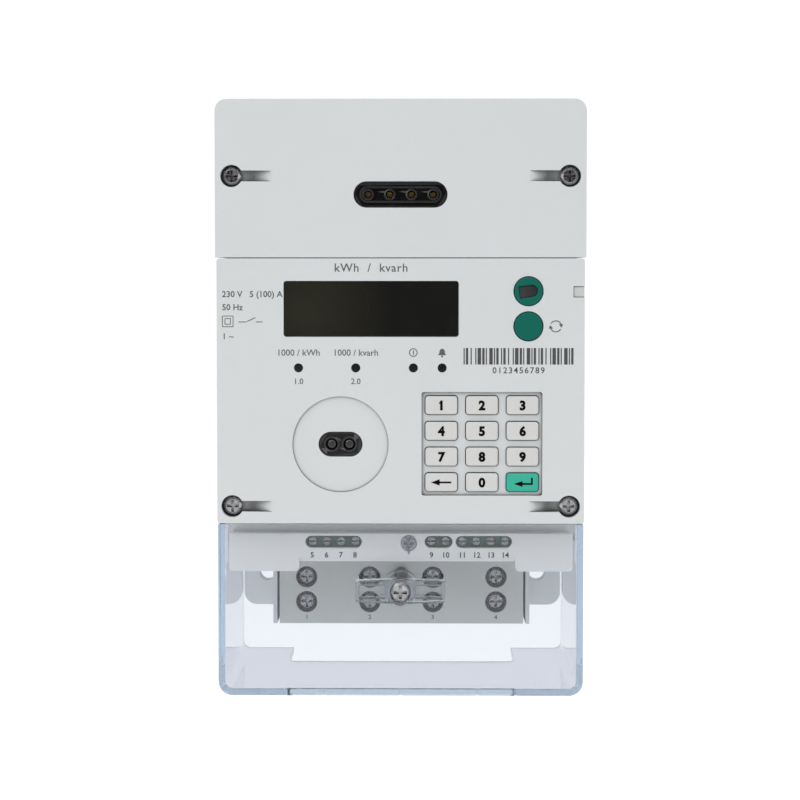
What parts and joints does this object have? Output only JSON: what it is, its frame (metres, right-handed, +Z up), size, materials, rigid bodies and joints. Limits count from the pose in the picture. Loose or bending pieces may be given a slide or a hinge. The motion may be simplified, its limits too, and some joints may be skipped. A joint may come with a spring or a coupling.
{
  "type": "prepaid electricity meter",
  "caption": "Wall-mounted single-phase keypad electricity meter with display, optical port, push buttons, plug-in module cover and clear lift-off terminal cover.",
  "frame": {"origin": "centre of the flat back, on the wall plane, at mid width and mid height", "axes": "+Y into the wall, so the front faces -Y; +Z up; +X to the right as seen from the front"},
  "size_m": [0.13, 0.0806, 0.21],
  "materials": {
    "case_plastic": "fine satin moulding",
    "shelf_plastic": "satin moulding",
    "block_plastic": "fine matte moulding",
    "clear_plastic": "clear polycarbonate",
    "screw_steel": "zinc plated",
    "plate_steel": "zinc plated sheet",
    "brass": "machined",
    "copper": "plain copper",
    "shunt_alloy": "manganin strip",
    "black_plastic": "semi-gloss black",
    "smoked_lens": "polished dark lens",
    "display_glass": "liquid-crystal glass, off",
    "led_lens": "moulded lens",
    "diode_lens": "infra-red filter lens",
    "key_plastic": "satin gloss key",
    "enter_plastic": "satin gloss key",
    "button_plastic": "satin green",
    "plunger_plastic": "natural moulding",
    "terminal_green": "green moulding",
    "circuit_board": "solder mask",
    "gasket_rubber": "soft black",
    "mat_rubber": "silicone",
    "relay_plastic": "moulded case",
    "core_steel": "varnished laminations",
    "capacitor_can": "sleeved can",
    "battery_sleeve": "sleeved cell"
  },
  "bodies": {
    "case": {"aux_board": "circuit_board", "aux_screws": "screw_steel", "aux_terminals_left": "terminal_green", "aux_terminals_middle": "terminal_green", "aux_terminals_right": "terminal_green", "base_case": "case_plastic", "battery": "battery_sleeve", "busbars": "copper", "button_switches": "black_plastic", "capacitors": "capacitor_can", "case_gasket": "gasket_rubber", "case_screws": "screw_steel", "display_board": "circuit_board", "display_holder": "shelf_plastic", "display_panel": "display_glass", "display_window": "smoked_lens", "front_cover": "case_plastic", "keypad_mat": "mat_rubber", "led_lenses": "smoked_lens", "main_board": "circuit_board", "module_socket": "black_plastic", "optical_diodes": "diode_lens", "optical_port": "black_plastic", "probe_plate": "plate_steel", "relay": "relay_plastic", "shelf_screw": "screw_steel", "shunt": "shunt_alloy", "side_insert": "block_plastic", "status_leds": "led_lens", "terminal_block": "block_plastic", "terminal_clamps": "brass", "terminal_screws": "screw_steel", "terminal_shelf": "shelf_plastic", "transformer": "core_steel"},
    "module": {"module_cover": "case_plastic", "module_screws": "screw_steel", "module_port": "black_plastic", "module_contacts": "brass", "module_board": "circuit_board", "radio_can": "plate_steel"},
    "terminal_cover": {"terminal_cover": "clear_plastic"},
    "cover_knob": {"cover_knob": "clear_plastic", "cover_screw": "screw_steel"},
    "hanger": {"hanger": "plate_steel"},
    "scroll_button": {"scroll_button": "button_plastic"},
    "reset_plunger": {"reset_plunger": "plunger_plastic"},
    "reset_button": {"reset_button": "button_plastic", "reset_insert": "black_plastic"},
    "key_1": {"key_1": "key_plastic"},
    "key_2": {"key_2": "key_plastic"},
    "key_3": {"key_3": "key_plastic"},
    "key_4": {"key_4": "key_plastic"},
    "key_5": {"key_5": "key_plastic"},
    "key_6": {"key_6": "key_plastic"},
    "key_7": {"key_7": "key_plastic"},
    "key_8": {"key_8": "key_plastic"},
    "key_9": {"key_9": "key_plastic"},
    "key_back": {"key_back": "key_plastic"},
    "key_0": {"key_0": "key_plastic"},
    "key_enter": {"key_enter": "enter_plastic"}
  },
  "joints": [
    {"name": "terminal_cover_lift", "type": "slide", "parent": "case", "child": "terminal_cover", "axis": [0, -1, 0], "range_m": [0, 0.08]},
    {"name": "knob_turn", "type": "hinge", "parent": "terminal_cover", "child": "cover_knob", "pos_m": [0, -0.0724, -0.0668], "axis": [0, -1, 0], "continuous": true},
    {"name": "module_lift", "type": "slide", "parent": "case", "child": "module", "axis": [0, -1, 0], "range_m": [0, 0.045]},
    {"name": "hanger_slide", "type": "slide", "parent": "case", "child": "hanger", "axis": [0, 0, 1], "range_m": [0, 0.022]},
    {"name": "scroll_press", "type": "slide", "parent": "case", "child": "scroll_button", "axis": [0, 1, 0], "range_m": [0, 0.0012], "stiffness_N_per_m": 800, "springref_m": -0.0005},
    {"name": "reset_press", "type": "slide", "parent": "case", "child": "reset_plunger", "axis": [0, 1, 0], "range_m": [0, 0.0012], "stiffness_N_per_m": 800, "springref_m": -0.0005},
    {"name": "reset_turn", "type": "hinge", "parent": "reset_plunger", "child": "reset_button", "pos_m": [0.0448, -0.072, 0.0378], "axis": [0, 1, 0], "range_deg": [0, 90]},
    {"name": "key_1_press", "type": "slide", "parent": "case", "child": "key_1", "axis": [0, 1, 0], "range_m": [0, 0.001], "stiffness_N_per_m": 800, "springref_m": -0.0005},
    {"name": "key_2_press", "type": "slide", "parent": "case", "child": "key_2", "axis": [0, 1, 0], "range_m": [0, 0.001], "stiffness_N_per_m": 800, "springref_m": -0.0005},
    {"name": "key_3_press", "type": "slide", "parent": "case", "child": "key_3", "axis": [0, 1, 0], "range_m": [0, 0.001], "stiffness_N_per_m": 800, "springref_m": -0.0005},
    {"name": "key_4_press", "type": "slide", "parent": "case", "child": "key_4", "axis": [0, 1, 0], "range_m": [0, 0.001], "stiffness_N_per_m": 800, "springref_m": -0.0005},
    {"name": "key_5_press", "type": "slide", "parent": "case", "child": "key_5", "axis": [0, 1, 0], "range_m": [0, 0.001], "stiffness_N_per_m": 800, "springref_m": -0.0005},
    {"name": "key_6_press", "type": "slide", "parent": "case", "child": "key_6", "axis": [0, 1, 0], "range_m": [0, 0.001], "stiffness_N_per_m": 800, "springref_m": -0.0005},
    {"name": "key_7_press", "type": "slide", "parent": "case", "child": "key_7", "axis": [0, 1, 0], "range_m": [0, 0.001], "stiffness_N_per_m": 800, "springref_m": -0.0005},
    {"name": "key_8_press", "type": "slide", "parent": "case", "child": "key_8", "axis": [0, 1, 0], "range_m": [0, 0.001], "stiffness_N_per_m": 800, "springref_m": -0.0005},
    {"name": "key_9_press", "type": "slide", "parent": "case", "child": "key_9", "axis": [0, 1, 0], "range_m": [0, 0.001], "stiffness_N_per_m": 800, "springref_m": -0.0005},
    {"name": "key_back_press", "type": "slide", "parent": "case", "child": "key_back", "axis": [0, 1, 0], "range_m": [0, 0.001], "stiffness_N_per_m": 800, "springref_m": -0.0005},
    {"name": "key_0_press", "type": "slide", "parent": "case", "child": "key_0", "axis": [0, 1, 0], "range_m": [0, 0.001], "stiffness_N_per_m": 800, "springref_m": -0.0005},
    {"name": "key_enter_press", "type": "slide", "parent": "case", "child": "key_enter", "axis": [0, 1, 0], "range_m": [0, 0.001], "stiffness_N_per_m": 800, "springref_m": -0.0005}
  ]
}
